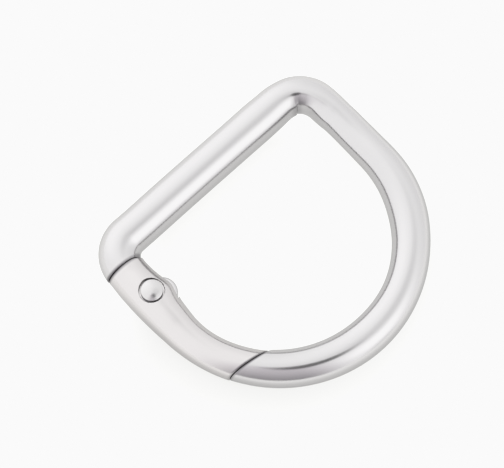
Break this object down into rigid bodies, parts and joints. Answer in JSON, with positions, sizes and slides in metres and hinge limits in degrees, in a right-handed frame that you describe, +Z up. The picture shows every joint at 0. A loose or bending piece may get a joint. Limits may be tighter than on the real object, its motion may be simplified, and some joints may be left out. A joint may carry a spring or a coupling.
{
  "type": "d-shaped carabiner",
  "caption": "D-shaped spring gate ring in round cast wire, with a straight bar for webbing and a riveted gate that opens inwards.",
  "frame": {"origin": "middle of the ring's outline, on the surface that the ring lies on", "axes": "+X across the ring towards the gate, along the straight bar; +Y from the bar towards the arc; +Z up, square to the ring"},
  "size_m": [0.0346, 0.0313, 0.0051],
  "materials": {
    "frame_nickel": "bright nickel plate on cast zinc, polished",
    "gate_nickel": "bright nickel plate on cast zinc, polished",
    "rivet_nickel": "bright nickel plate on a steel rivet, domed heads"
  },
  "bodies": {
    "frame": {"frame": "frame_nickel"},
    "gate": {"gate": "gate_nickel", "rivet": "rivet_nickel"}
  },
  "joints": [
    {"name": "gate_hinge", "type": "hinge", "parent": "frame", "child": "gate", "pos_m": [0.01452, -0.00625, 0.00255], "axis": [0, 0, 1], "range_deg": [0, 38], "stiffness_Nm_per_rad": 0.01, "springref_deg": -68.75}
  ]
}
